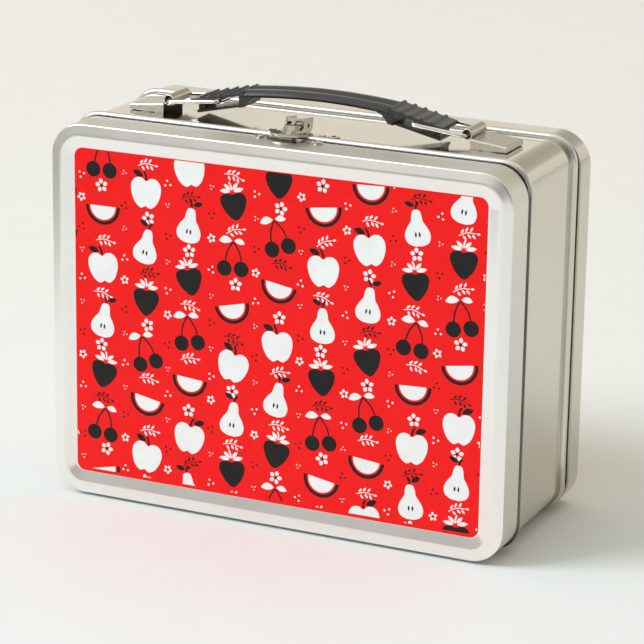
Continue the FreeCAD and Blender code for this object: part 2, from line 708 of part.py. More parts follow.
th = S("end_thick")
x0, x1 = S("grip_reach") - 1.6, S("end_reach")
end_pad("end_plates", [(x0, plate_z(x0, th)), (x1, plate_z(x1, th)), (x1, plate_z(x1)), (x0, plate_z(x0))],
        S("grip_half"))
d0, d1 = th + S("slot_tall"), th + S("slot_tall") + S("foot_thick")
x0, x1 = S("web_in"), S("web_out")
at = S("arch_top")
end_pad("webs", [(x0 - 4.2, hz(at - 4.65)), (x0 - 1.6, hz(at - 5.8)), (x0 + 0.2, hz(at - 7.6)), (x0 + 1.4, plate_z(x0 + 1.4, d1)),
                 (x1, plate_z(x1, d1)), (x1, plate_z(x1, 0.5)), (x0, hz(at - 3.0)), (x0 - 4.2, hz(at - 2.7))], S("web_half"))
x0, x1 = S("web_out") - 0.8, S("foot_reach")
end_pad("lower_plates", [(x0, plate_z(x0, d1)), (x1, plate_z(x1, d1)), (x1, plate_z(x1, d0)), (x0, plate_z(x0, d0))],
        S("foot_half"))
x0, x1 = S("post_in"), S("post_out")
end_pad("end_posts", [(x0, plate_z(x0, d0 + q(0.5))), (x1, plate_z(x1, d0 + q(0.5))), (x1, plate_z(x1, 0.7)), (x0, plate_z(x0, 0.7))],
        S("post_half"))
for k in range(5):
    xm = S("rib_first") + S("rib_pitch") * float(k)
    xa, xb = xm - S("rib_wide") * 0.5, xm + S("rib_wide") * 0.5
    t = S("rib_tall")
    end_pad("ribs_%d" % (k + 1), [(xa, plate_z(xa, 0.5)), (xb, plate_z(xb, 0.5)), (xb, plate_z(xb)),
                                  (xb - 0.3, plate_z(xb, -t)), (xa + 0.3, plate_z(xa, -t)), (xa, plate_z(xa))],
            S("grip_half"))
put(h, y=S("gear_mid"), z=low)
node(h, "handle_grip")

# ------------------------------------------------------------- catch plate
def half_oval(sk, half, tip, tail):
    """A plate with a straight rear edge and an arc for its front edge."""
    deep = tail.v - tip.v
    rad = (half.v ** 2 + deep ** 2) / (2 * deep)
    outline(sk, [(-half, tail, 0, tip.v + rad, q(rad), 1), (half, tail)])
    return rad


b = new_body("catch_blank")
sk = new_sketch(b, "catch_shape", "XY_Plane", S("lid_top"))
half_oval(sk, S("catch_wide"), S("catch_tip"), S("catch_end"))
pad(b, "catch_pad", sk, S("plate_gauge"))
rx, ry = S("catch_rivet_x"), S("catch_rivet_y")
sk = new_sketch(b, "catch_arm_shape", "XY_Plane", S("lid_top"))
outline(sk, [(-rx, ry - 1.3), (rx, ry - 1.3), (rx, ry + 1.3), (-rx, ry + 1.3)])
pad(b, "catch_arms", sk, S("plate_gauge"))
for sx, en in ((-1, "l"), (1, "r")):
    sk = new_sketch(b, "catch_lobe_" + en, "XY_Plane", S("lid_top"))
    round_hole(sk, sx * rx, ry, 2.3)
    pad(b, "catch_lobe_%s_pad" % en, sk, S("plate_gauge"))
# low ridge under the thumb tab
sk = new_sketch(b, "catch_ridge_shape", "XY_Plane", S("lid_top"))
outline(sk, [(-3.0, -36.4), (3.0, -36.4), (3.0, -35.2), (-3.0, -35.2)])
pad(b, "catch_ridge", sk, S("plate_gauge") + 1.5)
catch_cut = cut("catch_cut", b, fuse("catch_holes", [
    rod("catch_hole_l", hole, -rx, ry, S("lid_top") - 1, 4),
    rod("catch_hole_r", hole, rx, ry, S("lid_top") - 1, 4)]))
node(catch_cut, "catch_plate")


def rivets(name, label, x, y, top, bottom):
    """A pair of rivets: domed head on top, shank, and set end below."""
    for side, en in ((-1, "left"), (1, "right")):
        at = side * q(x)
        head = rod("%s_head_%s" % (name, en), S("rivet_head"), at, y, top, 0.35)
        cap = doc.addObject("Part::Cone", "%s_cap_%s" % (name, en))
        cap.setExpression("Radius1", S("rivet_head").t)
        cap.setExpression("Radius2", (S("rivet_head") * 0.55).t)
        cap.Height = 0.4
        put(cap, at, y, q(top) + 0.35)
        shank = rod("%s_shank_%s" % (name, en), S("rivet_rad"), at, y, bottom, q(top) - q(bottom))
        tail = rod("%s_tail_%s" % (name, en), S("rivet_head") * 0.9, at, y, q(bottom) - 0.5, 0.5)
        node(fuse("%s_%s" % (name, en), [head, cap, shank, tail]), "%s_%s" % (label, en))


rivets("catch_pair", "catch_rivet", rx, ry, S("lid_top") + S("plate_gauge"), S("lid_top") - S("gauge"))

# -------------------------------------------------------------- latch base
t = S("plate_gauge")
z0 = S("band_top")
shapes = [box("base_mid", -S("base_half"), S("base_half"), S("base_front"), S("base_rear"), z0, z0 + t)]
for sx, en in ((-1, "l"), (1, "r")):
    shapes.append(rod("base_lobe_a_" + en, 3.3, sx * S("base_rivet_x"), S("base_rivet_y"), z0, t))
    shapes.append(rod("base_lobe_b_" + en, 2.5, sx * (S("base_rivet_x") + 5.0), S("base_rivet_y") + 1.2, z0, t + 0.3))
    x0, x1 = (S("ear_in"), S("ear_out")) if sx > 0 else (-S("ear_out"), -S("ear_in"))
    shapes.append(box("base_ear_" + en, x0, x1, S("base_front") + 0.2, S("pin_y") + 2.6, z0, S("pin_z")))
    shapes.append(rod("base_ear_top_" + en, 2.0, x0, S("pin_y"), S("pin_z"), S("ear_out") - S("ear_in"), "x"))
blank = fuse("base_blank", shapes)
holes = [rod("base_pin_hole", S("pin_rad"), -S("ear_out") - 1, S("pin_y"), S("pin_z"), S("ear_out") * 2 + 2, "x")]
for sx, en in ((-1, "l"), (1, "r")):
    holes.append(rod("base_hole_" + en, hole, sx * S("base_rivet_x"), S("base_rivet_y"), z0 - 1, 4))
    holes.append(rod("base_loop_" + en, 1.1, sx * (S("base_rivet_x") + 5.0), S("base_rivet_y") + 1.2, z0 - 1, 4))
node(cut("base_cut", blank, fuse("base_holes", holes)), "latch_base")
rivets("base_pair", "latch_base_rivet", S("base_rivet_x"), S("base_rivet_y"), z0 + t, z0 - S("gauge"))

# -------------------------------------------------------- latch pin and hasp
node(rod("latch_pin_body", S("pin_rad"), -S("pin_half"), S("pin_y"), S("pin_z"), S("pin_half") * 2, "x"), "latch_pin")

b = new_body("hasp_blank")
py, pz = S("pin_y"), S("pin_z")
# thumb tab with a raised front rim
low = S("bill_low")
sk = new_sketch(b, "bill_shape", "XY_Plane", low)
rad = half_oval(sk, S("bill_half"), S("bill_tip"), S("bill_end"))
pad(b, "bill_pad", sk, S("bill_gauge"))
cy = S("bill_tip").v + rad
reach = math.asin(min(1.0, S("bill_half").v / rad))
a = reach - math.radians(4.0)
so, co = math.sin(a), math.cos(a)
inner = rad - 1.0
sk = new_sketch(b, "bill_rim_shape", "XY_Plane", low)
outline(sk, [(-rad * so, cy - rad * co, 0, cy, q(rad), 1), (rad * so, cy - rad * co),
             (inner * so, cy - inner * co, 0, cy, q(inner), -1), (-inner * so, cy - inner * co)])
pad(b, "bill_rim_pad", sk, S("bill_gauge") + S("bill_rim"))


def dome_face(name, z, half, front, rear):
    """One level of the dome: straight at the rear, rounded at the front."""
    sk = new_sketch(b, name, "XY_Plane", z)
    pts = []
    for k in range(9):
        turn = math.pi * (1.0 - k / 8.0)
        c, s = math.cos(turn), math.sin(turn)
        pts.append((q(math.copysign(half * abs(c) ** 0.8, c)), q(rear - (rear - front) * abs(s) ** 0.8)))
    outline(sk, pts)
    return sk


def loft(kind, name, levels):
    doc.recompute()
    f = b.newObject("PartDesign::" + kind, name)
    f.Profile = levels[0]
    f.Sections = levels[1:]
    f.Ruled = False
    doc.recompute()
    return f


# hollow dome between the tab and the cheeks
dl, dm, dt = S("dome_low"), S("dome_mid"), S("dome_top")
loft("AdditiveLoft", "dome_out", [dome_face("dome_foot", dl, 4.9, -36.6, -26.3),
                                  dome_face("dome_shoulder", dm, 4.3, -35.0, -27.2),
                                  dome_face("dome_head", dt, 3.0, -32.8, -29.3)])
loft("SubtractiveLoft", "dome_in", [dome_face("dome_foot_in", dl - 0.8, 4.3, -36.0, -26.9),
                                    dome_face("dome_shoulder_in", dm - 0.4, 3.7, -34.4, -27.8),
                                    dome_face("dome_head_in", dt - 0.6, 2.4, -32.2, -29.9)])
# cheeks on the pin, joined at the front by a bar
cf, cr, ct, cl = S("cheek_front"), S("cheek_rear"), S("cheek_top"), S("cheek_low")
for sx, en in ((-1, "left"), (1, "right")):
    sk = new_sketch(b, "cheek_%s_shape" % en, "YZ_Plane", S("cheek_in") if sx > 0 else -S("cheek_out"))
    outline(sk, [(cf, cl), (py - 2.9, cl), (py - 1.9, cl - 0.35), (py, cl - 0.85), (py + 1.4, cl - 0.6),
                 (py + 2.7, cl + 0.2), (py + 3.9, cl + 0.95), (py + 4.35, cl + 1.75), (py + 4.7, pz + 0.15),
                 (cr, ct - 2.1), (cr - 0.1, ct - 1.6), (cr - 0.6, ct - 1.1), (cf + 0.6, ct), (cf, ct - 0.6),
                 (cf, low + 2.0), (cf - 3.3, low + 0.9), (cf - 3.3, low)])
    pad(b, "cheek_%s_pad" % en, sk, S("cheek_out") - S("cheek_in"))
sk = new_sketch(b, "bar_shape", "YZ_Plane")
outline(sk, [(cf + 0.2, ct - 1.9), (cf + 1.2, ct - 1.9), (cf + 1.7, ct - 0.9), (cf + 1.6, ct - 0.35), (cf + 0.7, ct - 0.2), (cf + 0.2, ct - 0.7)])
pad(b, "bar_pad", sk, S("cheek_out") * 2 - 0.4, both=True)
sk = new_sketch(b, "strut_shape", "YZ_Plane")
outline(sk, [(cf - 3.1, dt - 0.35), (cf - 2.2, dt - 0.5), (cf + 1.1, ct - 1.75), (cf + 0.4, ct - 1.1)])
pad(b, "strut_pad", sk, 1.8, both=True)
node(cut("hasp_cut", b, rod("hasp_bore", S("pin_rad") + S("pin_play"), -S("cheek_out") - 1, py, pz,
                            S("cheek_out") * 2 + 2, "x")), "latch_hasp")

# ------------------------------------------------------------------ checks
doc.recompute()
for obj in doc.Objects:
    if "Invalid" in obj.State or "Error" in obj.State:
        raise RuntimeError("%s is %s" % (obj.Name, obj.State))
os.makedirs("parts", exist_ok=True)
for label, obj in NODES:
    shape = obj.Shape
    if shape.isNull() or not shape.isValid():
        raise RuntimeError("%s has no valid shape" % label)
    if not shape.Solids:
        raise RuntimeError("%s has no solid" % label)
    print("%-18s solids %d faces %3d volume %9.2f mm3  box %s" % (
        label, len(shape.Solids), len(shape.Faces), shape.Volume,
        " ".join("%.2f" % k for k in (shape.BoundBox.XMin, shape.BoundBox.XMax, shape.BoundBox.YMin,
                                       shape.BoundBox.YMax, shape.BoundBox.ZMin, shape.BoundBox.ZMax))))
for label, obj in NODES:
    obj.Shape.exportStep("parts/%s.step" % label)
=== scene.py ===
import math
import random

import bmesh
import bpy
from mathutils import Matrix, Vector
from mathutils.geometry import delaunay_2d_cdt


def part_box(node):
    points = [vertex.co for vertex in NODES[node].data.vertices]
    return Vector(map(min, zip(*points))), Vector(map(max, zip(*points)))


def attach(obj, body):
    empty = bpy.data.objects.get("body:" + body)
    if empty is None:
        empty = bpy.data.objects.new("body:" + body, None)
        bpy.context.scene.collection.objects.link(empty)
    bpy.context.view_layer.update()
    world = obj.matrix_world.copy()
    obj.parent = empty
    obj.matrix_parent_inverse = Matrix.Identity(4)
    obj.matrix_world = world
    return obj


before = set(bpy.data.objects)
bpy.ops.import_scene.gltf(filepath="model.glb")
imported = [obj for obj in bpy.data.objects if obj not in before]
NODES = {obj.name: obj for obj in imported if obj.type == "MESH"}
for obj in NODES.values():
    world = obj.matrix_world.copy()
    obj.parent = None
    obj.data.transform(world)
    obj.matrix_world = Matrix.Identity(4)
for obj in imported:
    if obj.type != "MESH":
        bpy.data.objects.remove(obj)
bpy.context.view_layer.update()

# Metal lunch box: satin tinplate shells, nickel clasp, brackets and bails, a
# black strap handle, and a red printed sheet on the lid. Metres, row frame.

scene = bpy.context.scene
scene.view_settings.view_transform = "Standard"
scene.view_settings.look = "None"


# ---------------------------------------------------------------- materials
class Shader:
    """A material with its Principled node, and short ways to add nodes."""

    def __init__(self, name):
        self.mat = bpy.data.materials.new(name)
        self.mat.use_nodes = True
        self.tree = self.mat.node_tree
        self.bsdf = self.tree.nodes["Principled BSDF"]

    def set(self, **values):
        for key, value in values.items():
            self.bsdf.inputs[key.replace("_", " ")].default_value = value
        return self

    def add(self, kind, **props):
        node = self.tree.nodes.new(kind)
        for key, value in props.items():
            setattr(node, key, value)
        return node

    def link(self, a, out, b, into):
        self.tree.links.new(a.outputs[out], b.inputs[into])

    def coords(self, scale=(1, 1, 1), turn=(0, 0, 0)):
        tex = self.add("ShaderNodeTexCoord")
        place = self.add("ShaderNodeMapping")
        place.inputs["Scale"].default_value = scale
        place.inputs["Rotation"].default_value = turn
        self.link(tex, "Object", place, "Vector")
        return place

    def noise(self, place, scale, detail=3.0, rough=0.55):
        n = self.add("ShaderNodeTexNoise")
        n.inputs["Scale"].default_value = scale
        n.inputs["Detail"].default_value = detail
        n.inputs["Roughness"].default_value = rough
        self.link(place, "Vector", n, "Vector")
        return n

    def ramp(self, node, out, stops, kind="RGBA"):
        r = self.add("ShaderNodeValToRGB")
        el = r.color_ramp.elements
        while len(el) < len(stops):
            el.new(0.5)
        for e, (pos, col) in zip(el, stops):
            e.position = pos
            e.color = col if len(col) == 4 else (*col, 1.0)
        self.link(node, out, r, "Fac")
        return r

    def spread(self, node, out, lo, hi, a, b):
        """Map a value from lo..hi to a..b."""
        m = self.add("ShaderNodeMapRange")
        m.inputs["From Min"].default_value = lo
        m.inputs["From Max"].default_value = hi
        m.inputs["To Min"].default_value = a
        m.inputs["To Max"].default_value = b
        self.link(node, out, m, "Value")
        return m

    def blend(self, factor, a, b):
        """Colour a to b by factor, each a (node, output) pair."""
        m = self.add("ShaderNodeMix", data_type="RGBA")
        for at, x in ((0, factor), (6, a), (7, b)):
            self.tree.links.new(x[0].outputs[x[1]], m.inputs[at])
        return m

    def math(self, op, a, b):
        """op on two (node, output) pairs or numbers."""
        m = self.add("ShaderNodeMath", operation=op)
        for i, x in enumerate((a, b)):
            if isinstance(x, tuple):
                self.tree.links.new(x[0].outputs[x[1]], m.inputs[i])
            else:
                m.inputs[i].default_value = x
        return m

    def bump(self, height, strength, distance, before=None):
        b = self.add("ShaderNodeBump")
        b.inputs["Strength"].default_value = strength
        b.inputs["Distance"].default_value = distance
        self.tree.links.new(height[0].outputs[height[1]], b.inputs["Height"])
        if before is not None:
            self.link(before, "Normal", b, "Normal")
        return b


def metal(name, tones, rough, grain=(1, 1, 1), grain_scale=900.0, wave=0.0, dent=0.0, zone=None,
          edge=0.0, matt=0.0, pocket_shade=0.0):
    """Bare or plated sheet metal: a faint cloudy tone, fine rolled grain, soft
    smudges and hair scratches in the roughness, a slow waviness of the sheet
    and small handling dents. zone is (coordinate, lo, hi, tones, outside): the
    piece's own Y or its normal's Y, across which the tone changes to a second
    pair, on all faces or only on those that look out of the box; Beads is the
    same by the distance from the band's middle. The zones paint light and shade:
    a painted highlight along the tops of the beads, painted shade in seams and
    gaps, and faces made lighter or darker by which way they look. matt is the
    roughness added in the zone, edge how far sharp edges are worn round, and
    pocket_shade the reach of an ambient occlusion that paints pockets dark brown
    as painted shade."""
    s = Shader(name)
    s.set(Metallic=1.0)
    flat = s.coords()
    cloud = s.noise(flat, 22.0, 4.0)
    tone = s.ramp(cloud, "Fac", [(0.30, tones[0]), (0.72, tones[1])])
    if zone:
        kind, lo, hi, other, outside = zone
        tex = s.add("ShaderNodeTexCoord")
        part = s.add("ShaderNodeSeparateXYZ")
        s.link(tex, "Object" if kind == "Beads" else kind, part, "Vector")
        at = (part, "Y")
        if kind == "Beads":
            at = (s.math("ABSOLUTE", (s.math("SUBTRACT", at, 0.00225), "Value"), 0.0), "Value")
        fade = (s.spread(at[0], at[1], lo, hi, 0.0, 1.0), "Result")
        if kind == "Beads":
            # painted highlight: the beads take their lighter tone fully along the top and only faintly lower down
            top_highlight = s.spread(part, "Z", 0.158, 0.172, 0.12, 1.0)
            fade = (s.math("MULTIPLY", fade, (top_highlight, "Result")), "Value")
        if outside:
            from_mid = s.add("ShaderNodeVectorMath", operation="SUBTRACT")
            from_mid.inputs[1].default_value = (0.0, 0.0, 0.0878)
            s.link(tex, "Object", from_mid, 0)
            away = s.add("ShaderNodeVectorMath", operation="DOT_PRODUCT")
            s.link(from_mid, "Vector", away, 0)
            s.link(tex, "Normal", away, 1)
            out = s.spread(away, "Value", 0.0, 0.02, 0.0, 1.0)
            fade = (s.math("MULTIPLY", fade, (out, "Result")), "Value")
        second = s.ramp(cloud, "Fac", [(0.30, other[0]), (0.72, other[1])])
        colour = (s.blend(fade, (tone, "Color"), (second, "Color")), 2)
    else:
        colour = (tone, "Color")
    if zone and zone[0] == "Beads":
        # painted shade: the front face of the front bead is darkened low down at the sides, where the lid's flange
        # meets it
        low_side = s.spread(part, "Z", 0.168, 0.160, 0.0, 1.0)
        gap_shade = s.math("MULTIPLY", (s.spread(part, "Y", -0.0259, -0.0264, 0.0, 1.0), "Result"), (low_side, "Result"))
        gap_shade_tone = s.ramp(cloud, "Fac", [(0.30, SEAM_SHADE_TONE[0]), (0.72, SEAM_SHADE_TONE[1])])
        colour = (s.blend((gap_shade, "Value"), colour, (gap_shade_tone, "Color")), 2)
    if pocket_shade:
        # painted shade: ambient occlusion blends the colour to dark brown in pockets, gaps and under overhangs
        pocket = s.add("ShaderNodeAmbientOcclusion", samples=12)
        pocket.inputs["Distance"].default_value = pocket_shade
        deep = s.spread(pocket, "AO", 0.62, 0.22, 0.0, 1.0)
        pocket_shade_tone = s.ramp(cloud, "Fac", [(0.30, (0.070, 0.052, 0.034)), (0.72, (0.105, 0.082, 0.056))])
        colour = (s.blend((deep, "Result"), colour, (pocket_shade_tone, "Color")), 2)
    s.link(*colour, s.bsdf, "Base Color")
    along = s.coords(grain)
    fibre = s.noise(along, grain_scale, 2.0, 0.6)
    smudge = s.noise(flat, 48.0, 3.0)
    a = s.spread(fibre, "Fac", 0.25, 0.75, rough - 0.012, rough + 0.012)
    b = s.spread(smudge, "Fac", 0.40, 0.72, -0.012, 0.030)
    scr_at = s.coords((1.0, 14.0, 3.0), (0.3, 0.5, 0.7))
    scr = s.noise(scr_at, 220.0, 1.0)
    c = s.spread(scr, "Fac", 0.72, 0.80, 0.0, 0.05)
    total = s.math("ADD", (s.math("ADD", (a, "Result"), (b, "Result")), "Value"), (c, "Result"))
    if matt:
        extra = s.math("MULTIPLY", fade, matt)
        total = s.math("ADD", (total, "Value"), (extra, "Value"))
    s.link(total, "Value", s.bsdf, "Roughness")
    last = None
    if edge:
        last = s.add("ShaderNodeBevel", samples=6)
        last.inputs["Radius"].default_value = edge
    if wave:
        slow = s.noise(flat, 13.0, 1.0)
        last = s.bump((slow, "Fac"), 1.0, wave, last)
    if dent:
        small = s.noise(flat, 75.0, 1.0)
        last = s.bump((small, "Fac"), 1.0, dent, last)
    if last is not None:
        s.link(last, "Normal", s.bsdf, "Normal")
    return s.mat


BAND_TONE = ((0.635, 0.605, 0.525), (0.672, 0.642, 0.562))
FACE_TONE = ((0.915, 0.893, 0.860), (0.945, 0.923, 0.890))
FLANGE_SHADE_TONE = ((0.750, 0.738, 0.697), (0.790, 0.778, 0.737))
TRAY_TONE = ((0.600, 0.572, 0.497), (0.636, 0.607, 0.532))
BEAD_HIGHLIGHT_TONE = ((0.745, 0.743, 0.728), (0.785, 0.783, 0.768))
SEAM_SHADE_TONE = ((0.10, 0.097, 0.090), (0.15, 0.145, 0.135))
# painted highlight: the band's beads take BEAD_HIGHLIGHT_TONE along the top; painted shade low on the front bead's face
tin = metal("tinplate", BAND_TONE, 0.10, grain=(0.25, 1.0, 1.0), grain_scale=1500.0, wave=0.00022, dent=0.000012,
            zone=("Beads", 0.0258, 0.0261, BEAD_HIGHLIGHT_TONE, False), matt=0.22)
# painted shade: the back tray's neck and shoulder inside the rear seam are darkened on faces that look out of the box
tin_back = metal("tinplate_tray", TRAY_TONE, 0.10, grain=(0.25, 1.0, 1.0), grain_scale=1500.0, wave=0.00022,
                 dent=0.000012, zone=("Object", 0.0341, 0.0335, SEAM_SHADE_TONE, True))
# painted shade: faces of the lid that do not look to the front, the flanges, take a darker, warmer tone than the front
# face
tin_lid = metal("tinplate_lid", FACE_TONE, 0.22, grain=(0.25, 1.0, 1.0), grain_scale=1500.0, wave=0.00012,
                dent=0.000008, zone=("Normal", -0.45, -0.15, FLANGE_SHADE_TONE, False), matt=0.24)
# painted shade: the collar's outer faces are darkened from just behind the lid's edge rearwards, where they show in the
# gap
tin_collar = metal("tinplate_collar", BAND_TONE, 0.20, grain=(0.25, 1.0, 1.0), grain_scale=1500.0,
                   zone=("Object", -0.0315, -0.0302, SEAM_SHADE_TONE, True))
# painted shade: pocket_shade darkens the hollows of the nickel pieces
nickel = metal("nickel_plate", ((0.62, 0.585, 0.510), (0.71, 0.675, 0.600)), 0.085,
               grain=(0.3, 1.0, 1.0), grain_scale=1800.0, wave=0.00010, dent=0.000016, edge=0.00022, pocket_shade=0.0055)
# painted shade: the hasp, latch base and pin are a darker copy of the nickel plating
clasp_shaded = metal("nickel_clasp_shaded", ((0.47, 0.443, 0.390), (0.58, 0.552, 0.493)), 0.085,
              grain=(0.3, 1.0, 1.0), grain_scale=1800.0, wave=0.00010, dent=0.000016, edge=0.00022, pocket_shade=0.0085)
# painted reflection: faces of the brackets that look to the front take a lighter pair of tones
satin = metal("nickel_satin", ((0.505, 0.475, 0.415), (0.585, 0.555, 0.495)), 0.24,
              grain=(0.3, 1.0, 1.0), grain_scale=1800.0, dent=0.000010, edge=0.00030, pocket_shade=0.0018,
              zone=("Normal", -0.35, -0.70, ((0.78, 0.755, 0.70), (0.86, 0.835, 0.78)), False))
wire = metal("nickel_wire", ((0.80, 0.785, 0.75), (0.86, 0.845, 0.81)), 0.10,
             grain=(0.2, 1.0, 1.0), grain_scale=1800.0)
steel = metal("hinge_steel", ((0.60, 0.60, 0.595), (0.68, 0.675, 0.665)), 0.22,
              grain=(0.2, 1.0, 1.0), grain_scale=1600.0)


def plastic(name):
    """Black moulded plastic: fine spark-eroded grain, worn glossier in patches."""
    s = Shader(name)
    s.set(Metallic=0.0)
    flat = s.coords()
    cloud = s.noise(flat, 40.0, 3.0)
    tone = s.ramp(cloud, "Fac", [(0.3, (0.027, 0.0275, 0.029)), (0.7, (0.036, 0.0365, 0.0385))])
    s.link(tone, "Color", s.bsdf, "Base Color")
    wear = s.noise(flat, 90.0, 4.0)
    r = s.spread(wear, "Fac", 0.3, 0.7, 0.20, 0.30)
    s.link(r, "Result", s.bsdf, "Roughness")
    grain = s.noise(flat, 2600.0, 2.0)
    soft = s.add("ShaderNodeBevel", samples=6)
    soft.inputs["Radius"].default_value = 0.00035
    b = s.bump((grain, "Fac"), 0.5, 0.000006, soft)
    s.link(b, "Normal", s.bsdf, "Normal")
    return s.mat


black = plastic("black_plastic")


def ink(name, low, high, rough):
    """Printed ink: faint mottle and a slight orange-peel of the clear coat."""
    s = Shader(name)
    s.set(Specular_IOR_Level=0.25)
    flat = s.coords()
    mottle = s.noise(flat, 140.0, 4.0)
    tone = s.ramp(mottle, "Fac", [(0.3, low), (0.7, high)])
    s.link(tone, "Color", s.bsdf, "Base Color")
    fine = s.noise(flat, 900.0, 2.0)
    r = s.spread(fine, "Fac", 0.3, 0.7, rough - 0.05, rough + 0.05)
    s.link(r, "Result", s.bsdf, "Roughness")
    b = s.bump((fine, "Fac"), 0.5, 0.000008)
    s.link(b, "Normal", s.bsdf, "Normal")
    return s.mat


red = ink("print_red", (0.94, 0.004, 0.004), (0.99, 0.006, 0.006), 0.5)
white = ink("print_white", (0.90, 0.895, 0.89), (0.96, 0.955, 0.95), 0.5)
dark = ink("print_black", (0.008, 0.007, 0.007), (0.013, 0.011, 0.011), 0.5)

FINISH = {
    "band_shell": tin, "band_collar": tin_collar, "back_shell": tin_back, "lid_shell": tin_lid, "print_panel": red,
    "hinge_rod": steel, "hinge_strap_left": steel, "hinge_strap_right": steel,
    "catch_plate": nickel, "catch_rivet_left": nickel, "catch_rivet_right": nickel,
    "latch_base": clasp_shaded, "latch_base_rivet_left": nickel, "latch_base_rivet_right": nickel,
    "latch_hasp": clasp_shaded, "latch_pin": clasp_shaded, "bracket_left": satin, "bracket_right": satin,
    "bail_left": wire, "bail_right": wire, "handle_grip": black,
}
for name, obj in NODES.items():
    obj.data.materials.clear()
    obj.data.materials.append(FINISH[name])


# ---------------------------------------------------------------- the print
def smooth(points, n=5):
    """Closed smooth curve through the points."""
    out = []
    k = len(points)
    for i in range(k):
        p0, p1, p2, p3 = (points[(i + j - 1) % k] for j in range(4))
        for s in range(n):
            t = s / n
            out.append(tuple(0.5 * (2 * p1[a] + (p2[a] - p0[a]) * t
                                    + (2 * p0[a] - 5 * p1[a] + 4 * p2[a] - p3[a]) * t * t
                                    + (3 * p1[a] - p0[a] - 3 * p2[a] + p3[a]) * t ** 3) for a in (0, 1)))
    return out


def mirrored(right):
    """Outline from its right half, listed from the top down."""
    return right + [(-x, y) for x, y in reversed(right) if abs(x) > 1e-6]


def disc(x, y, r, n=26):
    return [(x + r * math.cos(2 * math.pi * i / n), y + r * math.sin(2 * math.pi * i / n)) for i in range(n)]


def leaf(x0, y0, x1, y1, wide, n=10, bend=0.0):
    """Pointed leaf from one point to the other."""
    dx, dy = x1 - x0, y1 - y0
    s = math.hypot(dx, dy)
    ux, uy = dx / s, dy / s
    out = []
    for side, steps in ((1, range(n)), (-1, range(n, 0, -1))):
        for i in steps:
            t = i / n
            off = side * wide * 0.5 * math.sin(math.pi * t) ** 0.8 + bend * math.sin(math.pi * t)
            out.append((x0 + dx * t - uy * off, y0 + dy * t + ux * off))
    return out


def stroke(points, wide):
    """Open curve given a width, with round ends."""
    pts = []
    k = len(points)
    for i in range(k - 1):
        p0, p1, p2, p3 = points[max(i - 1, 0)], points[i], points[i + 1], points[min(i + 2, k - 1)]
        for s in range(6):
            t = s / 6
            pts.append(tuple(0.5 * (2 * p1[a] + (p2[a] - p0[a]) * t
                                    + (2 * p0[a] - 5 * p1[a] + 4 * p2[a] - p3[a]) * t * t
                                    + (3 * p1[a] - p0[a] - 3 * p2[a] + p3[a]) * t ** 3) for a in (0, 1)))
    pts.append(points[-1])
    left, right = [], []
    for i, p in enumerate(pts):
        a, b = pts[max(i - 1, 0)], pts[min(i + 1, len(pts) - 1)]
        s = math.hypot(b[0] - a[0], b[1] - a[1]) or 1.0
        nx, ny = -(b[1] - a[1]) / s * wide / 2, (b[0] - a[0]) / s * wide / 2
        left.append((p[0] + nx, p[1] + ny))
        right.append((p[0] - nx, p[1] - ny))
    def cap(p, q):
        ang = math.atan2(p[1] - q[1], p[0] - q[0])
        c = ((p[0] + q[0]) / 2, (p[1] + q[1]) / 2)
        return [(c[0] + wide / 2 * math.cos(ang - math.pi * j / 5), c[1] + wide / 2 * math.sin(ang - math.pi * j / 5))
                for j in range(1, 5)]
    return left + cap(left[-1], right[-1]) + right[::-1] + cap(right[0], left[0])


# every motif is {"white": [shape, ...], "black": [shape, ...]}; a shape is an
# outer ring with the rings of its holes
def apple():
    body = smooth(mirrored([(0, 6.0), (2.6, 7.6), (6.2, 7.3), (8.7, 4.2), (8.7, -0.6), (6.6, -5.8),
                            (3.4, -8.6), (1.3, -8.3), (0, -7.6)]))
    shine = leaf(-6.2, 4.6, -4.6, -4.6, 1.7, bend=-1.3)
    return {"white": [[body, shine]],
            "black": [[stroke([(0, 7.2), (0.3, 9.2), (1.3, 11.0)], 1.2)], [leaf(1.7, 8.6, 8.0, 10.9, 3.4)]]}


def pear():
    body = smooth(mirrored([(0, 9.4), (1.9, 8.8), (2.8, 6.4), (3.4, 3.2), (5.6, 0.0), (7.1, -3.8), (6.2, -7.6),
                            (3.0, -9.5), (0, -9.8)]))
    core = smooth(mirrored([(0, 0.6), (1.5, -1.2), (2.9, -3.8), (1.9, -6.0), (0, -6.7)]))
    return {"white": [[body, core]],
            "black": [[stroke([(0, 10.2), (-0.3, 11.6), (-1.2, 13.0)], 1.2)], [leaf(0.7, 11.2, 6.0, 13.4, 2.8)],
                      [leaf(-1.0, -2.2, -1.1, -5.2, 1.1)], [leaf(1.0, -2.2, 1.1, -5.2, 1.1)]]}


def cherries():
    return {"black": [[disc(-5.0, -5.0, 4.3), leaf(-7.4, -4.0, -5.4, -2.0, 1.0)],
                      [disc(4.8, -6.4, 4.3), leaf(2.4, -5.4, 4.4, -3.4, 1.0)],
                      [stroke([(-4.6, -0.3), (-3.0, 4.0), (0.6, 8.6)], 0.9)],
                      [stroke([(4.6, -1.7), (3.8, 3.4), (1.5, 8.4)], 0.9)]],
            "white": [[leaf(1.8, 9.4, 9.4, 8.0, 4.0, bend=0.6), stroke([(3.0, 9.3), (5.4, 9.0), (7.6, 8.4)], 0.45)],
                      [leaf(0.4, 9.7, -5.8, 9.2, 3.2, bend=-0.4)]]}


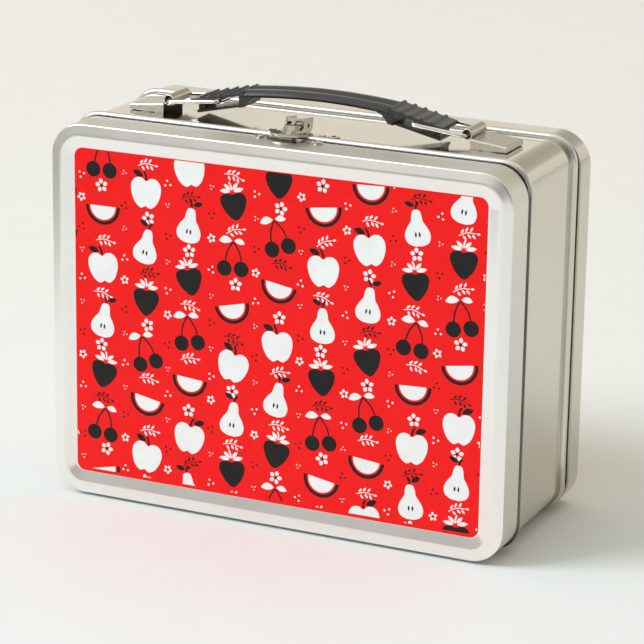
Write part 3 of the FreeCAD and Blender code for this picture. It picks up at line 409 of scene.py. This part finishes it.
def berry():
    body = smooth(mirrored([(0, 4.9), (3.4, 5.7), (6.9, 4.4), (7.6, 0.8), (5.4, -4.4), (2.0, -8.2), (0, -9.0)]))
    seeds = [leaf(x, y + 0.7, x, y - 0.7, 0.8, 5) for x, y in
             ((-4.6, 2.6), (0, 2.8), (4.6, 2.6), (-2.4, 0.0), (2.4, 0.0), (-4.4, -1.8), (4.4, -1.8),
              (0, -2.6), (-2.2, -5.0), (2.2, -5.0))]
    return {"black": [[body] + seeds],
            "white": [[leaf(0.9, 6.6, 7.0, 7.6, 2.3)], [leaf(-0.9, 6.6, -7.0, 7.6, 2.3)],
                      [leaf(0.6, 7.4, 4.0, 10.8, 2.0)], [leaf(-0.6, 7.4, -4.0, 10.8, 2.0)],
                      [stroke([(0, 7.6), (0.1, 9.4), (0.8, 11.4)], 0.9)]]}


def melon():
    rim = []
    for r, flip in ((10.4, 1), (8.6, -1)):
        arc = [(r * math.cos(math.pi + math.pi * i / 24), r * math.sin(math.pi + math.pi * i / 24) + 4.2) for i in range(25)]
        rim += arc[::flip]
    flesh = [(7.6 * math.cos(math.pi + math.pi * i / 24), 7.6 * math.sin(math.pi + math.pi * i / 24) + 4.2) for i in range(25)]
    pips = [leaf(x, y + 0.8, x * 0.9, y - 0.8, 0.9, 5) for x, y in ((-4.2, 2.2), (0, 1.9), (4.2, 2.2), (-2.1, -0.6), (2.1, -0.6))]
    return {"black": [[rim]], "white": [[flesh] + pips]}


def blossom():
    petals = [[leaf(1.3 * math.cos(a), 1.3 * math.sin(a), 5.0 * math.cos(a), 5.0 * math.sin(a), 3.0)]
              for a in (math.radians(90 + 72 * k) for k in range(5))]
    return {"white": petals, "black": [[disc(0, 0, 0.9, 14)]]}


def sprig(colour):
    shapes = [[stroke([(-6.0, -1.6), (0, 0.2), (6.0, -0.6)], 0.6)]]
    for x, y, s in ((-4.4, -0.5, 1), (-1.2, 0.6, 1), (2.2, 0.6, 1), (-3.2, -1.4, -1), (0.2, -0.5, -1), (3.4, -0.9, -1)):
        shapes.append([leaf(x, y + 0.25 * s, x + 2.2, y + 3.2 * s, 1.5)])
    shapes.append([leaf(6.6, -0.7, 9.4, -0.9, 1.5)])
    return {colour: shapes}


def dots(colour):
    return {colour: [[disc(0, 2.0, 0.75, 14)], [disc(-1.9, -1.0, 0.75, 14)], [disc(1.9, -1.0, 0.75, 14)]]}


def lay_out():
    """Half-drop columns of fruit, with blossoms, sprigs and dots between."""
    rng = random.Random(11)
    out = {"white": [], "black": []}

    def stamp(motif, x, y, turn, size=1.0, flip=1):
        c, s = math.cos(math.radians(turn)) * size, math.sin(math.radians(turn)) * size
        for colour, shapes in motif.items():
            for shape in shapes:
                out[colour].append([[(x + flip * px * c - py * s, y + flip * px * s + py * c) for px, py in ring] for ring in shape])

    main = [apple, cherries, pear, melon, berry]
    for col in range(-5, 6):
        x = col * 21.6 + 2.0
        for row in range(-4, 5):
            y = row * 24.6 + (12.3 if col % 2 else 0.0) - 3.0
            pick = main[(2 * col + 3 * row) % 5]
            stamp(pick(), x, y, rng.uniform(-13, 13), 0.83, rng.choice((-1, 1)))
            between = (blossom(), sprig("white"), sprig("black"), sprig("white"), blossom())[(col + 2 * row) % 5]
            stamp(between, x + rng.uniform(-1.2, 1.2), y + 12.8, rng.uniform(-22, 22), 0.64)
            side = (dots("black"), dots("white"))[(col + row) % 2]
            stamp(side, x + 10.8, y + rng.uniform(4.5, 6.5), rng.uniform(0, 120), 0.66)
            stamp(blossom() if (col + row) % 3 == 0 else dots("white"), x + 10.8, y - rng.uniform(4.5, 6.2), rng.uniform(0, 70), 0.43)
    return out


def ink_piece(name, shapes, material, middle, half, face, thick):
    """Thin closed film of ink on the sheet, trimmed to the sheet's edge."""
    bm = bmesh.new()
    for rings in shapes:
        verts, edges = [], []
        for ring in rings:
            a = len(verts)
            verts += [Vector(p) for p in ring]
            edges += [(a + i, a + (i + 1) % len(ring)) for i in range(len(ring))]
        if all(abs(v.x) > half[0] + 0.2 or abs(v.y) > half[1] + 0.2 for v in verts):
            continue
        vo, eo, fo, _, _, _ = delaunay_2d_cdt(verts, edges, [], 5, 1e-5)
        front = [bm.verts.new((middle[0] + p[0] * 1e-3, face - thick, middle[1] + p[1] * 1e-3)) for p in vo]
        rear = [bm.verts.new((middle[0] + p[0] * 1e-3, face + thick, middle[1] + p[1] * 1e-3)) for p in vo]
        seen = {}
        for f in fo:
            for i in range(len(f)):
                a, b = f[i], f[(i + 1) % len(f)]
                seen[(a, b)] = True
        for f in fo:
            bm.faces.new([front[i] for i in f])
            bm.faces.new([rear[i] for i in reversed(f)])
        for a, b in seen:
            if (b, a) not in seen:
                bm.faces.new([front[b], front[a], rear[a], rear[b]])
    loose = [v for v in bm.verts if not v.link_faces]
    bmesh.ops.delete(bm, geom=loose, context="VERTS")
    for axis, sign, limit in ((0, 1, half[0]), (0, -1, half[0]), (2, 1, half[1]), (2, -1, half[1])):
        co = Vector((middle[0], face, middle[1]))
        no = Vector((0, 0, 0))
        no[axis] = sign
        co[axis] += sign * limit * 1e-3
        bmesh.ops.bisect_plane(bm, geom=bm.verts[:] + bm.edges[:] + bm.faces[:], plane_co=co, plane_no=no,
                               clear_outer=True, dist=1e-9)
        rim = [e for e in bm.edges if len(e.link_faces) == 1]
        if rim:
            bmesh.ops.holes_fill(bm, edges=rim, sides=0)
    bmesh.ops.recalc_face_normals(bm, faces=bm.faces)
    me = bpy.data.meshes.new(name)
    bm.to_mesh(me)
    bm.free()
    me.materials.append(material)
    ob = bpy.data.objects.new(name, me)
    scene.collection.objects.link(ob)
    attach(ob, "lid")
    return ob


lo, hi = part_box("print_panel")
mid = ((lo.x + hi.x) / 2, (lo.z + hi.z) / 2)
half_mm = ((hi.x - lo.x) * 500 - 0.35, (hi.z - lo.z) * 500 - 0.35)
art = lay_out()
ink_piece("print_ink_white", art["white"], white, mid, half_mm, lo.y, 0.00002)
ink_piece("print_ink_black", art["black"], dark, mid, half_mm, lo.y, 0.000025)


def low_margin(wide, tall, corner, drop):
    """The printed sheet's lower margin, down to the foot of the frame."""
    turns = [math.radians(8.0 * k) for k in range(11)]
    right = [(wide - corner + corner * math.sin(t), -(tall - corner) - corner * math.cos(t)) for t in turns]
    edge = [(-x, y) for x, y in reversed(right)] + right
    return edge + [(x, y - drop) for x, y in reversed(edge)]


wide, tall = (hi.x - lo.x) * 500, (hi.z - lo.z) * 500
ink_piece("print_margin", [[low_margin(wide, tall, 4.0, 1.25)]], red, mid, (wide + 5, tall + 5), lo.y + 0.0001, 0.00009)


# ------------------------------------------------------- floor, light, camera
def floor_piece():
    me = bpy.data.meshes.new("floor")
    r = 9.0
    me.from_pydata([(-r, -r, 0), (r, -r, 0), (r, r, 0), (-r, r, 0)], [], [(0, 1, 2, 3)])
    ob = bpy.data.objects.new("floor", me)
    scene.collection.objects.link(ob)
    s = Shader("floor_paper")
    s.set(Specular_IOR_Level=0.15)
    flat = s.coords()
    n = s.noise(flat, 30.0, 4.0)
    tone = s.ramp(n, "Fac", [(0.3, (0.855, 0.852, 0.845)), (0.7, (0.870, 0.867, 0.860))])
    # painted shade: the near end of the sheet is darker and cooler than the far end
    near_shade = s.ramp(n, "Fac", [(0.3, (0.798, 0.808, 0.828)), (0.7, (0.812, 0.822, 0.842))])
    part = s.add("ShaderNodeSeparateXYZ")
    s.link(flat, "Vector", part, "Vector")
    far = s.spread(part, "Y", -0.30, 0.25, 0.0, 1.0)
    sheet = s.blend((far, "Result"), (near_shade, "Color"), (tone, "Color"))
    # painted shade: off to the left the sheet darkens to a dark grey, for the unlit part of the studio there
    aside = s.add("ShaderNodeVectorMath", operation="DOT_PRODUCT")
    aside.inputs[1].default_value = (-0.858, -0.514, 0.0)
    s.link(flat, "Vector", aside, 0)
    out = s.spread(aside, "Value", 0.25, 0.42, 0.0, 1.0)
    left = s.spread(part, "X", -0.36, -0.62, 0.0, 1.0)
    away = s.math("MULTIPLY", (out, "Result"), (left, "Result"))
    left_shade = s.ramp(n, "Fac", [(0.3, (0.325, 0.320, 0.305)), (0.7, (0.340, 0.335, 0.320))])
    ground = s.blend((away, "Value"), (sheet, 2), (left_shade, "Color"))
    s.link(ground, 2, s.bsdf, "Base Color")
    fine = s.noise(flat, 400.0, 2.0)
    r = s.spread(fine, "Fac", 0.3, 0.7, 0.55, 0.7)
    s.link(r, "Result", s.bsdf, "Roughness")
    me.materials.append(s.mat)


floor_piece()

world = bpy.data.worlds.new("studio")
scene.world = world
world.use_nodes = True
wt = world.node_tree
bg = wt.nodes["Background"]
tc = wt.nodes.new("ShaderNodeTexCoord")
sep = wt.nodes.new("ShaderNodeSeparateXYZ")
wt.links.new(tc.outputs["Generated"], sep.inputs["Vector"])


def sky(stops):
    """Colour by height above the horizon."""
    r = wt.nodes.new("ShaderNodeValToRGB")
    el = r.color_ramp.elements
    while len(el) < len(stops):
        el.new(0.5)
    for e, (pos, col) in zip(el, stops):
        e.position, e.color = pos, (*col, 1.0)
    wt.links.new(sep.outputs["Z"], r.inputs["Fac"])
    return r


rear = sky([(0.0, (0.86, 0.81, 0.72)), (0.25, (0.95, 0.90, 0.81)), (0.32, (0.63, 0.60, 0.53)), (0.44, (0.50, 0.47, 0.40)),
            (0.70, (0.46, 0.43, 0.36)), (0.82, (0.92, 0.86, 0.73)), (1.0, (0.98, 0.92, 0.78))])
front = sky([(0.0, (0.48, 0.47, 0.45)), (0.30, (0.48, 0.47, 0.45)), (0.60, (0.46, 0.44, 0.39)),
             (0.80, (0.46, 0.43, 0.36)), (0.90, (0.92, 0.86, 0.73)), (1.0, (0.98, 0.92, 0.78))])
turn = wt.nodes.new("ShaderNodeMapRange")
turn.interpolation_type = "SMOOTHSTEP"
turn.inputs["From Min"].default_value = -0.45
turn.inputs["From Max"].default_value = 0.35
wt.links.new(sep.outputs["Y"], turn.inputs["Value"])
blend = wt.nodes.new("ShaderNodeMix")
blend.data_type = "RGBA"
wt.links.new(turn.outputs["Result"], blend.inputs[0])
wt.links.new(front.outputs["Color"], blend.inputs[6])
wt.links.new(rear.outputs["Color"], blend.inputs[7])
wt.links.new(blend.outputs[2], bg.inputs["Color"])
# an unlit part of the studio, off to the front and right
dim_at = wt.nodes.new("ShaderNodeVectorMath")
dim_at.operation = "DOT_PRODUCT"
dim_at.inputs[1].default_value = Vector((0.42, -0.85, 0.32)).normalized()
wt.links.new(tc.outputs["Generated"], dim_at.inputs[0])
dim = wt.nodes.new("ShaderNodeMapRange")
dim.interpolation_type = "SMOOTHSTEP"
for key, value in (("From Min", 0.90), ("From Max", 0.975), ("To Min", 1.0), ("To Max", 0.22)):
    dim.inputs[key].default_value = value
wt.links.new(dim_at.outputs["Value"], dim.inputs["Value"])
wt.links.new(dim.outputs["Result"], bg.inputs["Strength"])


def softbox(name, place, target, wide, tall, power, colour=(1, 1, 1)):
    data = bpy.data.lights.new(name, "AREA")
    data.shape = "RECTANGLE"
    data.size, data.size_y = wide, tall
    data.energy = power
    data.color = colour
    ob = bpy.data.objects.new(name, data)
    scene.collection.objects.link(ob)
    ob.location = place
    ob.rotation_euler = (Vector(target) - Vector(place)).to_track_quat("-Z", "Y").to_euler()
    return ob


softbox("key_left", (-5.2, -3.8, 5.5), (0, 0, 0.05), 3.8, 3.4, 472.0, (0.88, 0.93, 1.0))
card = softbox("front_card", (-0.10, -0.60, 0.545), (-0.10, 0.0, 0.545), 0.41, 0.42, 0.161, (1.0, 0.985, 0.95))
fill = softbox("front_fill", (0.0, -0.30, 0.70), (0.0, -0.30, 0.0), 0.5, 0.25, 0.60, (0.42, 1.0, 1.0))
fill.visible_glossy = False
for ob in (card, fill):
    ob.visible_camera = False

cam = bpy.data.cameras.new("camera")
cam.sensor_width = 36.0
cam.lens = 160.24
cam.clip_end = 50.0
cam_ob = bpy.data.objects.new("camera", cam)
scene.collection.objects.link(cam_ob)
turn = Vector((1.82600923, 0.41223657, -0.28539694))
to_cam = Matrix.Rotation(turn.length, 3, turn.normalized())
cols = (to_cam[0], -to_cam[1], -to_cam[2])
cam_ob.matrix_world = Matrix.Translation(Vector((0.51679, -1.12700, 0.45542))) @ Matrix(cols).transposed().to_4x4()
scene.camera = cam_ob
